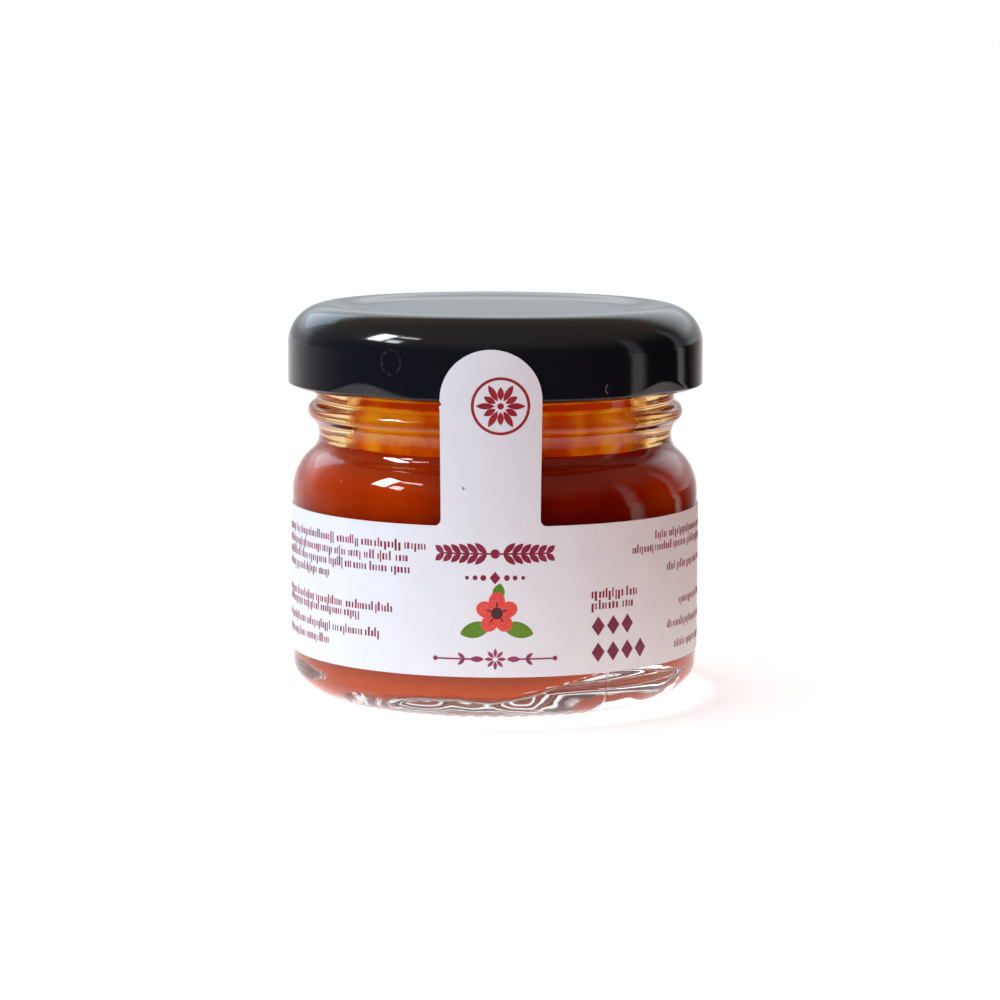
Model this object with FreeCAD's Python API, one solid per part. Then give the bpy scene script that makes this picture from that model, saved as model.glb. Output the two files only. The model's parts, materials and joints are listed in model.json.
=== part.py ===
import FreeCAD, Part
import math
import os
from FreeCAD import Vector

# A small round jam jar: a pressed glass jar with a heavy base and a beaded neck, jam up to the shoulder,
# a black twist-off cap, and a paper label that goes round the body and runs up over the cap as a seal.
# Millimetres, +Z up, origin on the axis at the level that the jar stands on, the seal strap facing -Y.

# Glass jar, outside
BODY_R = 22.35            # straight side wall
STAND_INSET = 5.05        # from the side wall in to the ring that the jar stands on
STAND_WIDTH = 1.1         # width of that ring
PUSH_UP = 1.1             # height of the hollow under the base
HEEL_HEIGHT = 3.9         # height of the rounding between the base and the side
SHOULDER_RADIUS = 5.5
NECK_RADIUS = 2.45        # hollow rounding of the neck
NECK_INSET = 0.3          # from the finish in to the narrowest part of the neck
BEAD_PROUD = 0.93         # from the finish out to the ring under the cap
BEAD_RADIUS = 1.0
BEAD_BELOW_CAP = 2.67     # from the cap's lower edge down to the middle of that ring
FINISH_R = 19.75          # wall that the cap goes over
FINISH_FILLET = 0.8
RIM_HEIGHT = 42.2         # sealing edge at the mouth
RIM_OUTER_ROUND = 0.9
RIM_INNER_ROUND = 0.6

# Glass jar, inside
WALL = 3.0                # at the side
MOUTH_WALL = 3.15
BASE_THICKNESS = 1.9      # at the middle of the base
FLOOR_ROUND = 3.0
BORE_START_RADIUS = 4.5   # upper rounding between the bore and the body
INNER_SHOULDER_RADIUS = 3.0

# Jam
HEADSPACE = 15.6          # from the rim down to the jam

# Threads on the glass, and the cap's lugs that hook under them
STARTS = 4
LUG_TURN = -38.0          # degrees from the front round to the first lug
THREAD_PROUD = 0.85
THREAD_HEIGHT = 1.5
THREAD_SPAN = 52.0        # degrees
THREAD_SLOPE = 2.5        # degrees
LUG_CLEARANCE = 0.25      # from a lug to the glass, and up to the thread above it
LUG_RISE = 1.75           # height of a lug's pressed face above the cap's lower edge
LUG_PRESS = 1.65          # how far in that face lies at the lower edge
LUG_SPAN = 34.0           # degrees
LUG_SHEET = 0.45
HOOK_SPAN = 22.0          # degrees
HOOK_HEIGHT = 0.6

# Cap
CAP_ROOM = 1.95           # from the threads out to the skirt
CAP_SHEET = 0.3
CAP_HEIGHT = 9.0
CAP_SHOULDER_WIDTH = 4.4
CAP_SHOULDER_DROP = 4.2
PANEL_RECESS = 0.5
PANEL_STEP_WIDTH = 5.0    # of the shallow slope round the panel, above
SEAL_STEP_WIDTH = 0.8     # below, where the cap is thickened over the rim to seal it
CURL_HEIGHT = 0.45        # from the crease in the skirt down to the lowest point of the rolled edge
CURL_TURN_IN = 0.95       # how far the rolled edge goes in from the skirt
CURL_RADIUS = 0.7

# Label
LABEL_SHEET = 0.12
GLUE_GAP = 0.02
LABEL_ABOVE_HEEL = 1.25
LABEL_BELOW_SHOULDER = 1.4
LABEL_BACK_GAP = 6.0      # bare glass between the label's two ends, along the curve
LABEL_TURN = -1.1         # degrees from the front
STRAP_WIDTH = 10.6
STRAP_BELOW_TOP = 3.2     # from the top of the cap down to the strap's round end
STRAP_CORNER = 0.7        # rounding where the strap leaves the band

FRONT = -90.0             # degrees from +X
CENTRE = Vector(0, 0, 0)
UP = Vector(0, 0, 1)


def at(r, z):
    """A point of the section plane, from its distance to the axis and its height."""
    return Vector(r, 0, z)


def line(start, end):
    return Part.LineSegment(at(*start), at(*end)).toShape()


def polyline(points):
    """The closed outline through these points."""
    return [line(start, end) for start, end in zip(points, points[1:] + points[:1])]


def on_circle(centre, radius, degrees):
    turn = math.radians(degrees)
    return (centre[0] + radius * math.cos(turn), centre[1] + radius * math.sin(turn))


def arc(centre, radius, first, last):
    ends = [on_circle(centre, radius, degrees) for degrees in (first, (first + last) / 2, last)]
    return Part.Arc(*[at(*end) for end in ends]).toShape()


def quarter_ellipse(centre, half_width, half_height):
    """The quarter outside a centre, above it, or below it where half_height is negative."""
    beside = at(centre[0] + half_width, centre[1])
    over = at(centre[0], centre[1] + half_height)
    long_end, short_end = (beside, over) if half_width >= abs(half_height) else (over, beside)
    return Part.ArcOfEllipse(Part.Ellipse(long_end, short_end, at(*centre)), 0, math.pi / 2).toShape()


def s_step(inner, outer):
    """Two equal arcs that run level out of the lower inner point and level into the higher outer point."""
    width, height = outer[0] - inner[0], outer[1] - inner[1]
    radius = (width ** 2 + height ** 2) / (4 * height)
    slope = math.degrees(math.asin(width / 2 / radius))
    rising = arc((inner[0], inner[1] + radius), radius, -90, slope - 90)
    levelling = arc((outer[0], outer[1] - radius), radius, 90 + slope, 90)
    return [rising, levelling]


def meeting(inner_centre_r, inner_radius, outer_centre_r, outer_radius):
    """Height between the centres of two arcs that meet smoothly, and the slope in degrees there."""
    gap = outer_centre_r - inner_centre_r
    reach = inner_radius + outer_radius
    return math.sqrt(reach ** 2 - gap ** 2), math.degrees(math.acos(gap / reach))


# Worked out from the sizes above: the cap, which fits over the threads and seats on the rim, then the
# neck, which keeps its distance to the cap, and the side wall, which ends where the shoulder meets it.
CAP_R = FINISH_R + THREAD_PROUD + CAP_ROOM + CAP_SHEET
CAP_TOP = RIM_HEIGHT + CAP_SHEET + PANEL_RECESS
CAP_BOTTOM = CAP_TOP - CAP_HEIGHT
SKIRT_TOP = CAP_TOP - CAP_SHOULDER_DROP
CREASE = CAP_BOTTOM + CURL_HEIGHT
THREAD_BOTTOM = CAP_BOTTOM + HOOK_HEIGHT + LUG_CLEARANCE
BORE_R = FINISH_R - MOUTH_WALL
BEAD_CENTRE = (FINISH_R + BEAD_PROUD - BEAD_RADIUS, CAP_BOTTOM - BEAD_BELOW_CAP)
NECK_CENTRE_R = FINISH_R - NECK_INSET + NECK_RADIUS
BEAD_RISE, BEAD_SLOPE = meeting(BEAD_CENTRE[0], BEAD_RADIUS, NECK_CENTRE_R, NECK_RADIUS)
NECK_CENTRE = (NECK_CENTRE_R, BEAD_CENTRE[1] - BEAD_RISE)
SHOULDER_CENTRE_R = BODY_R - SHOULDER_RADIUS
NECK_RISE, SHOULDER_SLOPE = meeting(SHOULDER_CENTRE_R, SHOULDER_RADIUS, NECK_CENTRE_R, NECK_RADIUS)
SHOULDER_START = NECK_CENTRE[1] - NECK_RISE
FLOOR = PUSH_UP + BASE_THICKNESS


def spin(edges, degrees=360.0, middle=None):
    """The solid that a closed section sweeps round the axis, with its middle turned to an angle."""
    face = Part.Face(Part.Wire(Part.__sortEdges__(edges)))
    solid = face.revolve(CENTRE, UP, degrees)
    if middle is not None:
        solid.rotate(CENTRE, UP, middle - degrees / 2)
    return solid


def round_axis(shape, count, first):
    """Copies of a shape that faces the front, evenly round the axis from an angle."""
    copies = [shape.copy() for _ in range(count)]
    for k, copy in enumerate(copies):
        copy.rotate(CENTRE, UP, first + k * 360 / count)
    return copies


def outside_edges():
    """The jar's outer section, from the middle of the base up to the rim."""
    stand_r = BODY_R - STAND_INSET
    inner_stand = stand_r - STAND_WIDTH
    dome_radius = (inner_stand ** 2 + PUSH_UP ** 2) / (2 * PUSH_UP)
    dome_half = math.degrees(math.asin(inner_stand / dome_radius))
    dome = arc((0, PUSH_UP - dome_radius), dome_radius, 90, 90 - dome_half)
    stand = line((inner_stand, 0), (stand_r, 0))
    heel = quarter_ellipse((stand_r, HEEL_HEIGHT), STAND_INSET, -HEEL_HEIGHT)
    side = line((BODY_R, HEEL_HEIGHT), (BODY_R, SHOULDER_START))
    shoulder = arc((SHOULDER_CENTRE_R, SHOULDER_START), SHOULDER_RADIUS, 0, SHOULDER_SLOPE)
    neck = arc(NECK_CENTRE, NECK_RADIUS, 180 + SHOULDER_SLOPE, 180 - BEAD_SLOPE)

    fillet_r = FINISH_R + FINISH_FILLET
    fillet_rise, fillet_slope = meeting(BEAD_CENTRE[0], BEAD_RADIUS, fillet_r, FINISH_FILLET)
    fillet_centre = (fillet_r, BEAD_CENTRE[1] + fillet_rise)
    bead = arc(BEAD_CENTRE, BEAD_RADIUS, -BEAD_SLOPE, fillet_slope)
    fillet = arc(fillet_centre, FINISH_FILLET, 180 + fillet_slope, 180)
    rim_centre = (FINISH_R - RIM_OUTER_ROUND, RIM_HEIGHT - RIM_OUTER_ROUND)
    finish = line((FINISH_R, fillet_centre[1]), (FINISH_R, rim_centre[1]))
    rim = arc(rim_centre, RIM_OUTER_ROUND, 0, 90)
    return [dome, stand, heel, side, shoulder, neck, bead, fillet, finish, rim]


def inside_edges(top):
    """The jar's inner section, from the middle of the floor up the bore to a height."""
    inner_r = BODY_R - WALL
    flat = line((0, FLOOR), (inner_r - FLOOR_ROUND, FLOOR))
    corner = arc((inner_r - FLOOR_ROUND, FLOOR + FLOOR_ROUND), FLOOR_ROUND, -90, 0)
    side = line((inner_r, FLOOR + FLOOR_ROUND), (inner_r, SHOULDER_START))
    lower_r = inner_r - INNER_SHOULDER_RADIUS
    upper_r = BORE_R + BORE_START_RADIUS
    rise, slope = meeting(lower_r, INNER_SHOULDER_RADIUS, upper_r, BORE_START_RADIUS)
    bore_start = SHOULDER_START + rise
    lower = arc((lower_r, SHOULDER_START), INNER_SHOULDER_RADIUS, 0, slope)
    upper = arc((upper_r, bore_start), BORE_START_RADIUS, 180 + slope, 180)
    bore = line((BORE_R, bore_start), (BORE_R, top))
    return [flat, corner, side, lower, upper, bore]


def thread():
    """A short sloping ridge that faces the front, with its lower end just above a lug."""
    root, crest = FINISH_R - THREAD_PROUD, FINISH_R + THREAD_PROUD
    top = THREAD_BOTTOM + THREAD_HEIGHT
    flank = THREAD_HEIGHT / 3
    section = [(root, THREAD_BOTTOM), (FINISH_R, THREAD_BOTTOM), (crest, THREAD_BOTTOM + flank),
               (crest, top - flank), (FINISH_R, top), (root, top)]
    ridge = spin(polyline(section), THREAD_SPAN, FRONT)
    ridge.rotate(Vector(0, 0, THREAD_BOTTOM), Vector(0, 1, 0), THREAD_SLOPE)
    half_length = (FINISH_R + THREAD_PROUD) * math.sin(math.radians(THREAD_SPAN / 2))
    ridge.translate(UP * (half_length * math.sin(math.radians(THREAD_SLOPE))))
    return ridge


def glass_jar():
    mouth_centre = (BORE_R + RIM_INNER_ROUND, RIM_HEIGHT - RIM_INNER_ROUND)
    land = line((mouth_centre[0], RIM_HEIGHT), (FINISH_R - RIM_OUTER_ROUND, RIM_HEIGHT))
    mouth = arc(mouth_centre, RIM_INNER_ROUND, 180, 90)
    middle = line((0, PUSH_UP), (0, FLOOR))
    jar = spin(outside_edges() + [land, mouth, middle] + inside_edges(mouth_centre[1]))
    return jar.fuse(round_axis(thread(), STARTS, LUG_TURN)).removeSplitter()


def jam():
    mouth = [line((BORE_R, RIM_HEIGHT), (0, RIM_HEIGHT)), line((0, RIM_HEIGHT), (0, FLOOR))]
    cavity = spin(inside_edges(RIM_HEIGHT) + mouth)
    return cavity.common(Part.makeCylinder(BODY_R, RIM_HEIGHT - HEADSPACE))


def cap_sheet():
    """The cap without its lugs: a recessed panel, a rounded shoulder, a skirt and a rolled edge."""
    crest_r = CAP_R - CAP_SHOULDER_WIDTH
    panel_r = crest_r - PANEL_STEP_WIDTH
    panel_top = RIM_HEIGHT + CAP_SHEET
    curl_centre = (CAP_R - CURL_TURN_IN, CAP_BOTTOM + CURL_RADIUS)
    curl_top = curl_centre[1] + CURL_RADIUS
    inner_r = CAP_R - CAP_SHEET
    shoulder_centre = (crest_r, SKIRT_TOP)
    outer = [line((0, panel_top), (panel_r, panel_top))]
    outer += s_step((panel_r, panel_top), (crest_r, CAP_TOP))
    outer += [quarter_ellipse(shoulder_centre, CAP_SHOULDER_WIDTH, CAP_SHOULDER_DROP)]
    outer += [line((CAP_R, SKIRT_TOP), (CAP_R, CREASE))]
    outer += [line((CAP_R, CREASE), (curl_centre[0], CAP_BOTTOM))]
    inner = [arc(curl_centre, CURL_RADIUS, -90, -270)]
    inner += [line((curl_centre[0], curl_top), (inner_r, curl_top))]
    inner += [line((inner_r, curl_top), (inner_r, SKIRT_TOP))]
    inner_width, inner_drop = CAP_SHOULDER_WIDTH - CAP_SHEET, CAP_SHOULDER_DROP - CAP_SHEET
    inner += [quarter_ellipse(shoulder_centre, inner_width, inner_drop)]
    seal_r = crest_r - SEAL_STEP_WIDTH
    inner += s_step((seal_r, RIM_HEIGHT), (crest_r, CAP_TOP - CAP_SHEET))
    inner += [line((seal_r, RIM_HEIGHT), (0, RIM_HEIGHT)), line((0, RIM_HEIGHT), (0, panel_top))]
    return spin(outer + inner)


def pressed_slab(outwards, thickness):
    """A slab along a lug's sloping face, at the front, on its outer side or its inner side."""
    half_width = CAP_R * math.sin(math.radians(LUG_SPAN / 2))
    start = -thickness if outwards else 0
    slab = Part.makeBox(2 * half_width, thickness, 2 * CAP_HEIGHT, Vector(-half_width, start, -CAP_HEIGHT))
    slab.rotate(CENTRE, Vector(1, 0, 0), math.degrees(math.atan(LUG_PRESS / LUG_RISE)))
    slab.translate(Vector(0, -CAP_R, CAP_BOTTOM + LUG_RISE))
    return slab


def cap():
    """The cap, with lugs pressed in at its edge that hook under the jar's threads."""
    shell = cap_sheet()
    outside = pressed_slab(True, CAP_HEIGHT)
    room = Part.makeCylinder(CAP_R - CAP_SHEET / 2, LUG_RISE, Vector(0, 0, CAP_BOTTOM))
    face = pressed_slab(False, LUG_SHEET).common(room)
    hook_r = FINISH_R + LUG_CLEARANCE
    hook_end = CAP_R - CURL_TURN_IN
    hook_top = CAP_BOTTOM + HOOK_HEIGHT
    section = [(hook_r, CAP_BOTTOM), (hook_end, CAP_BOTTOM), (hook_end, hook_top), (hook_r, hook_top)]
    hook = spin(polyline(section), HOOK_SPAN, FRONT).cut(outside)
    shell = shell.cut(round_axis(outside, STARTS, LUG_TURN))
    lugs = round_axis(face, STARTS, LUG_TURN) + round_axis(hook, STARTS, LUG_TURN)
    return shell.fuse(lugs).removeSplitter()


def strap_outline(foot, band_top):
    """The flat outline of the strap: flared into the band at its foot and round at its top."""
    half = STRAP_WIDTH / 2
    corner = half + STRAP_CORNER
    corner_height = band_top + STRAP_CORNER
    round_height = CAP_TOP - STRAP_BELOW_TOP - half
    right = [line((corner, foot), (corner, band_top))]
    right += [arc((corner, corner_height), STRAP_CORNER, -90, -180)]
    right += [line((half, corner_height), (half, round_height))]
    left = [edge.mirror(CENTRE, Vector(1, 0, 0)) for edge in right]
    top = arc((0, round_height), half, 0, 180)
    return right + left + [top, line((-corner, foot), (corner, foot))]


def strap_leaves(wrap_radius, cap_r):
    """Height where the strap leaves the side, so that its run to the cap just clears the shoulder."""
    over, up = cap_r - SHOULDER_CENTRE_R, CREASE - SHOULDER_START
    lean = math.asin(wrap_radius / math.hypot(over, up)) - math.atan2(over, up)
    return SHOULDER_START + wrap_radius * math.tan(lean / 2)


def label():
    """A band round the body, and a strap that bridges the neck and ends on the side of the cap."""
    body_r, cap_r = BODY_R + GLUE_GAP, CAP_R + GLUE_GAP
    bottom, top = HEEL_HEIGHT + LABEL_ABOVE_HEEL, SHOULDER_START - LABEL_BELOW_SHOULDER
    leaves = strap_leaves(SHOULDER_RADIUS + GLUE_GAP, cap_r)
    band_degrees = 360 - math.degrees(LABEL_BACK_GAP / body_r)
    band_section = [(body_r, bottom), (body_r + LABEL_SHEET, bottom),
                    (body_r + LABEL_SHEET, top), (body_r, top)]
    band = spin(polyline(band_section), band_degrees, FRONT)
    route = [(body_r, bottom), (body_r, leaves), (cap_r, CREASE), (cap_r, CAP_TOP)]
    outer_route = [(r + LABEL_SHEET, z) for r, z in reversed(route)]
    outline = Part.Face(Part.Wire(Part.__sortEdges__(strap_outline((bottom + top) / 2, top))))
    cutter = outline.extrude(Vector(0, -2 * CAP_R, 0))
    strap = spin(polyline(route + outer_route), 90.0, FRONT).common(cutter)
    sheet = band.fuse(strap).removeSplitter()
    sheet.rotate(CENTRE, UP, LABEL_TURN)
    return sheet


NODES = {"glass_jar": glass_jar, "jam": jam, "cap": cap, "label": label}

os.makedirs("parts", exist_ok=True)
for name, make in NODES.items():
    shape = make()
    if shape.ShapeType != "Solid":
        shape = shape.Solids[0]
    shape.exportStep("parts/" + name + ".step")
    print(name, shape.ShapeType, shape.isValid(), "volume", round(shape.Volume, 1), shape.BoundBox)
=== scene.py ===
import json
import math
import random
import bmesh
import bpy
from mathutils import Matrix, Vector, noise

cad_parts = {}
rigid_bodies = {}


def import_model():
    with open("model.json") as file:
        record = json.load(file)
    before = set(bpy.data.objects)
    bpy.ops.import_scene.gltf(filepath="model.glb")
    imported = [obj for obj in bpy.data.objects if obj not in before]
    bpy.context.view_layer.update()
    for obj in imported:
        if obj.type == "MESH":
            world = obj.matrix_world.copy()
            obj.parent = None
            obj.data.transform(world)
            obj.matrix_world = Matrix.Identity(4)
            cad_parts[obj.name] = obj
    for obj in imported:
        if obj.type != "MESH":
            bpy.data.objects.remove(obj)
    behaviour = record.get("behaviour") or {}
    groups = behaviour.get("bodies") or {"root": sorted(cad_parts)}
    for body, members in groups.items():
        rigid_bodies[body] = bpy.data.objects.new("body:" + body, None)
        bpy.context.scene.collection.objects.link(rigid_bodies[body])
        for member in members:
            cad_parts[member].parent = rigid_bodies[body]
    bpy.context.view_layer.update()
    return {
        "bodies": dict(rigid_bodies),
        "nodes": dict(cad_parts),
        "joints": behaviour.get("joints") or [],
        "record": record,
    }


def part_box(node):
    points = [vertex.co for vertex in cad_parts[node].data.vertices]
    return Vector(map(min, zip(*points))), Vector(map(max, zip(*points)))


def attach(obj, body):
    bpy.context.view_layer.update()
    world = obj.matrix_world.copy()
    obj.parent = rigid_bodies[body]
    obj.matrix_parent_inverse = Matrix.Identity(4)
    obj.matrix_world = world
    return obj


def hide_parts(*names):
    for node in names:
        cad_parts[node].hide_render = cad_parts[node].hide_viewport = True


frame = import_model()


# --- The glass jar -------------------------------------------------------------------------------------
# Pressed and blown soda-lime glass with a heavy base, a round heel, a beaded neck and four short threads.
# The mould leaves its outside true, with two fine upright seams and a knurled foot ring, while the inside
# is a little uneven, most of all round the floor.

MM = 0.001
BODY_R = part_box("glass_jar")[1].x / MM
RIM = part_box("glass_jar")[1].z / MM
INNER_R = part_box("jam")[1].x / MM
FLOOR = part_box("jam")[0].z / MM
FINISH_R = 19.75
BORE_R = 16.6
PUSH_UP = 1.1
STAND_INNER, STAND_OUTER = 16.2, 17.3
HEEL_HEIGHT = 3.9
SHOULDER_RADIUS = 5.5
SHOULDER_START = 22.55
NECK_CENTRE = (21.9, 28.69)
NECK_RADIUS = 2.45
BEAD_CENTRE = (19.68, 31.33)
BEAD_RADIUS = 1.0
FINISH_FILLET = 0.8
LIP_OUTER, LIP_INNER = 0.9, 0.6
FLOOR_ROUND = 3.0
INNER_SHOULDER_RADIUS = 3.0
BORE_START_RADIUS = 4.5
BORE_START = 30.0
HEAVY_TURN, HEAVY_SPREAD, HEAVY_DEPTH = 46, 24, 1.7
LIGHT_TURN, LIGHT_SPREAD, LIGHT_DEPTH = -92, 26, 0.8
KNURL_INNER, KNURL_OUTER = 15.6, 20.8
KNURL_COUNT, KNURL_DEPTH = 72, 0.11
FOOT_INNER, FOOT_HEIGHT = 15.9, 0.75
THREAD_BOTTOM, THREAD_HALF, THREAD_PROUD = 34.85, 0.75, 0.9
THREAD_SPAN, THREAD_CLIMB = math.radians(52), 0.030
LUG_TURNS = [math.radians(-38 + 90 * k) for k in range(4)]
SEAM_TURN = math.radians(32.6)
TURNS = 432


def arc(centre, radius, first, last, steps):
    """Points of a section's arc, as radius and height, from one angle in degrees to another."""
    return ellipse(centre, radius, radius, first, last, steps)


def ellipse(centre, half_width, half_height, first, last, steps):
    angles = [math.radians(first + (last - first) * k / steps) for k in range(steps + 1)]
    return [(centre[0] + half_width * math.cos(a), centre[1] + half_height * math.sin(a)) for a in angles]


def straight(start, end, steps):
    shares = [k / steps for k in range(steps + 1)]
    return [(start[0] + (end[0] - start[0]) * s, start[1] + (end[1] - start[1]) * s) for s in shares]


def slope(inner_centre, inner_radius, outer_centre, outer_radius):
    """The angle in degrees at which two arcs that touch run into each other."""
    return math.degrees(math.acos((outer_centre[0] - inner_centre[0]) / (inner_radius + outer_radius)))


def lathe(outline, turns=TURNS, closed=False):
    """Turns a section outline round the jar's axis: an eighth is spun, then copied until it is whole."""
    shape = bmesh.new()
    verts = [shape.verts.new((0, -r * MM, z * MM)) for r, z in outline]
    pairs = list(zip(verts, verts[1:])) + ([(verts[-1], verts[0])] if closed else [])
    edges = [shape.edges.new(pair) for pair in pairs if (pair[0].co - pair[1].co).length > 1e-9]
    bmesh.ops.spin(shape, geom=verts + edges, axis=(0, 0, 1), cent=(0, 0, 0), dvec=(0, 0, 0),
                   angle=math.pi / 4, steps=turns // 8)
    for share in (4, 2, 1):
        copy = bmesh.ops.duplicate(shape, geom=shape.verts[:] + shape.edges[:] + shape.faces[:])["geom"]
        turned = [item for item in copy if isinstance(item, bmesh.types.BMVert)]
        about = Matrix.Rotation(math.pi / share, 3, "Z")
        bmesh.ops.rotate(shape, verts=turned, cent=(0, 0, 0), matrix=about)
    bmesh.ops.remove_doubles(shape, verts=shape.verts, dist=2e-7)
    bmesh.ops.recalc_face_normals(shape, faces=shape.faces)
    return shape


def inside(out=0.0):
    """The section of the jar's inner wall from the floor's middle to the bore, moved outwards."""
    inner = INNER_R + out
    lower = (inner - INNER_SHOULDER_RADIUS, SHOULDER_START)
    upper_r = BORE_R + out + BORE_START_RADIUS
    rise = math.sqrt((INNER_SHOULDER_RADIUS + BORE_START_RADIUS) ** 2 - (upper_r - lower[0]) ** 2)
    upper = (upper_r, SHOULDER_START + rise)
    turn = slope(lower, INNER_SHOULDER_RADIUS, upper, BORE_START_RADIUS)
    corner = (inner - FLOOR_ROUND, FLOOR - out + FLOOR_ROUND)
    points = straight((0, FLOOR - out), (corner[0], FLOOR - out), 14)
    points += arc(corner, FLOOR_ROUND, -90, 0, 14)[1:]
    points += straight((inner, corner[1]), (inner, SHOULDER_START), 16)[1:]
    points += arc(lower, INNER_SHOULDER_RADIUS, 0, turn, 12)[1:]
    return points + arc(upper, BORE_START_RADIUS, 180 + turn, 180, 14)[1:]


def uneven(place):
    """How far the inner wall lies in from true at a place, in metres: most in the corner of the floor."""
    height = place.z / MM
    r = math.hypot(place.x, place.y) / MM
    turn = math.degrees(math.atan2(place.x, -place.y))
    low = max(0.0, min(1.0, (9.0 - height) / 5.0))
    corner = low * max(0.0, min(1.0, (r - 11.0) / 4.0))
    slow = noise.noise(place * 130 + Vector((3.1, 0.4, 1.7)))
    quick = noise.noise(place * 420 + Vector((0.3, 5.2, 2.9)))
    heavy = math.exp(-((turn - HEAVY_TURN) / HEAVY_SPREAD) ** 2) * HEAVY_DEPTH
    heavy += math.exp(-((turn - LIGHT_TURN) / LIGHT_SPREAD) ** 2) * LIGHT_DEPTH
    below_neck = max(0.0, min(1.0, (27.0 - height) / 3.0))
    return MM * below_neck * (slow * (0.05 + 0.15 * corner) + quick * 0.06 * corner + heavy * corner)


def out_of_true(shape, chosen, inwards):
    """Moves the chosen points of a wall by how far the glass there is out of true."""
    shape.normal_update()
    moves = {vert: vert.normal * (inwards * uneven(vert.co)) for vert in chosen}
    for vert, move in moves.items():
        vert.co += move


def knurl(shape):
    """Presses the ring of small radial dents into the foot, which keeps the base from slipping when hot."""
    shape.normal_update()
    for vert in shape.verts:
        r = math.hypot(vert.co.x, vert.co.y) / MM
        if vert.co.z < 1.0 * MM and vert.normal.z < -0.5 and KNURL_INNER < r < KNURL_OUTER:
            reach = math.sin(math.pi * (r - KNURL_INNER) / (KNURL_OUTER - KNURL_INNER))
            turn = math.atan2(vert.co.y, vert.co.x)
            dent = 0.5 - 0.5 * math.cos(KNURL_COUNT * turn)
            vert.co -= vert.normal * (KNURL_DEPTH * MM * reach * dent)


dome_radius = (STAND_INNER ** 2 + PUSH_UP ** 2) / (2 * PUSH_UP)
dome_half = math.degrees(math.asin(STAND_INNER / dome_radius))
shoulder_centre = (BODY_R - SHOULDER_RADIUS, SHOULDER_START)
shoulder_turn = slope(shoulder_centre, SHOULDER_RADIUS, NECK_CENTRE, NECK_RADIUS)
bead_turn = slope(BEAD_CENTRE, BEAD_RADIUS, NECK_CENTRE, NECK_RADIUS)
fillet_r = FINISH_R + FINISH_FILLET
fillet_turn = slope(BEAD_CENTRE, BEAD_RADIUS, (fillet_r, 0), FINISH_FILLET)
fillet_rise = math.sqrt((BEAD_RADIUS + FINISH_FILLET) ** 2 - (fillet_r - BEAD_CENTRE[0]) ** 2)
fillet_centre = (fillet_r, BEAD_CENTRE[1] + fillet_rise)

section = arc((0, PUSH_UP - dome_radius), dome_radius, 90, 90 - dome_half, 14)
section += straight((STAND_INNER, 0), (STAND_OUTER, 0), 4)[1:]
section += ellipse((STAND_OUTER, HEEL_HEIGHT), BODY_R - STAND_OUTER, HEEL_HEIGHT, -90, 0, 22)[1:]
section += straight((BODY_R, HEEL_HEIGHT), (BODY_R, SHOULDER_START), 8)[1:]
section += arc(shoulder_centre, SHOULDER_RADIUS, 0, shoulder_turn, 18)[1:]
section += arc(NECK_CENTRE, NECK_RADIUS, 180 + shoulder_turn, 180 - bead_turn, 18)[1:]
section += arc(BEAD_CENTRE, BEAD_RADIUS, -bead_turn, fillet_turn, 14)[1:]
section += arc(fillet_centre, FINISH_FILLET, 180 + fillet_turn, 180, 6)[1:]
section += straight((FINISH_R, fillet_centre[1]), (FINISH_R, RIM - LIP_OUTER), 4)[1:]
section += arc((FINISH_R - LIP_OUTER, RIM - LIP_OUTER), LIP_OUTER, 0, 90, 6)[1:]
section += arc((BORE_R + LIP_INNER, RIM - LIP_INNER), LIP_INNER, 90, 180, 5)
inner_section = inside()
section += straight((BORE_R, RIM - LIP_INNER), inner_section[-1], 14)[1:]
section += inner_section[-2::-1]

jar_shape = lathe(section)
inner_points = []
for vert in jar_shape.verts:
    r = math.hypot(vert.co.x, vert.co.y) / MM
    z = vert.co.z / MM
    widest = INNER_R if z < BORE_START else BORE_R
    if FLOOR - 0.01 < z < RIM - 3 and r < widest + 0.01:
        inner_points.append(vert)
out_of_true(jar_shape, inner_points, 1)
knurl(jar_shape)


def thread(shape, turn):
    """One thread: a rounded ridge that climbs a little round the finish, with its ends sunk in the wall."""
    middle = (FINISH_R - 0.05, THREAD_BOTTOM + THREAD_HALF)
    ridge = ellipse(middle, THREAD_PROUD, THREAD_HALF, -90, 90, 8)
    start = turn - THREAD_SPAN / 2
    across, back = MM * math.sin(start), -MM * math.cos(start)
    end = shape.faces.new([shape.verts.new((r * across, r * back, z * MM)) for r, z in ridge])
    bmesh.ops.spin(shape, geom=[end], axis=(0, 0, 1), cent=(0, 0, 0), dvec=(0, 0, THREAD_CLIMB * MM),
                   angle=THREAD_SPAN, steps=26)


ridges = bmesh.new()
for turn in LUG_TURNS:
    thread(ridges, turn)
ridge_mesh = bpy.data.meshes.new("threads")
ridges.to_mesh(ridge_mesh)
ridges.free()
jar_shape.from_mesh(ridge_mesh)
bpy.data.meshes.remove(ridge_mesh)
bmesh.ops.recalc_face_normals(jar_shape, faces=jar_shape.faces)
for face in jar_shape.faces:
    middle = face.calc_center_median()
    if middle.z < FOOT_HEIGHT * MM and math.hypot(middle.x, middle.y) > FOOT_INNER * MM:
        face.material_index = 1


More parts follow.
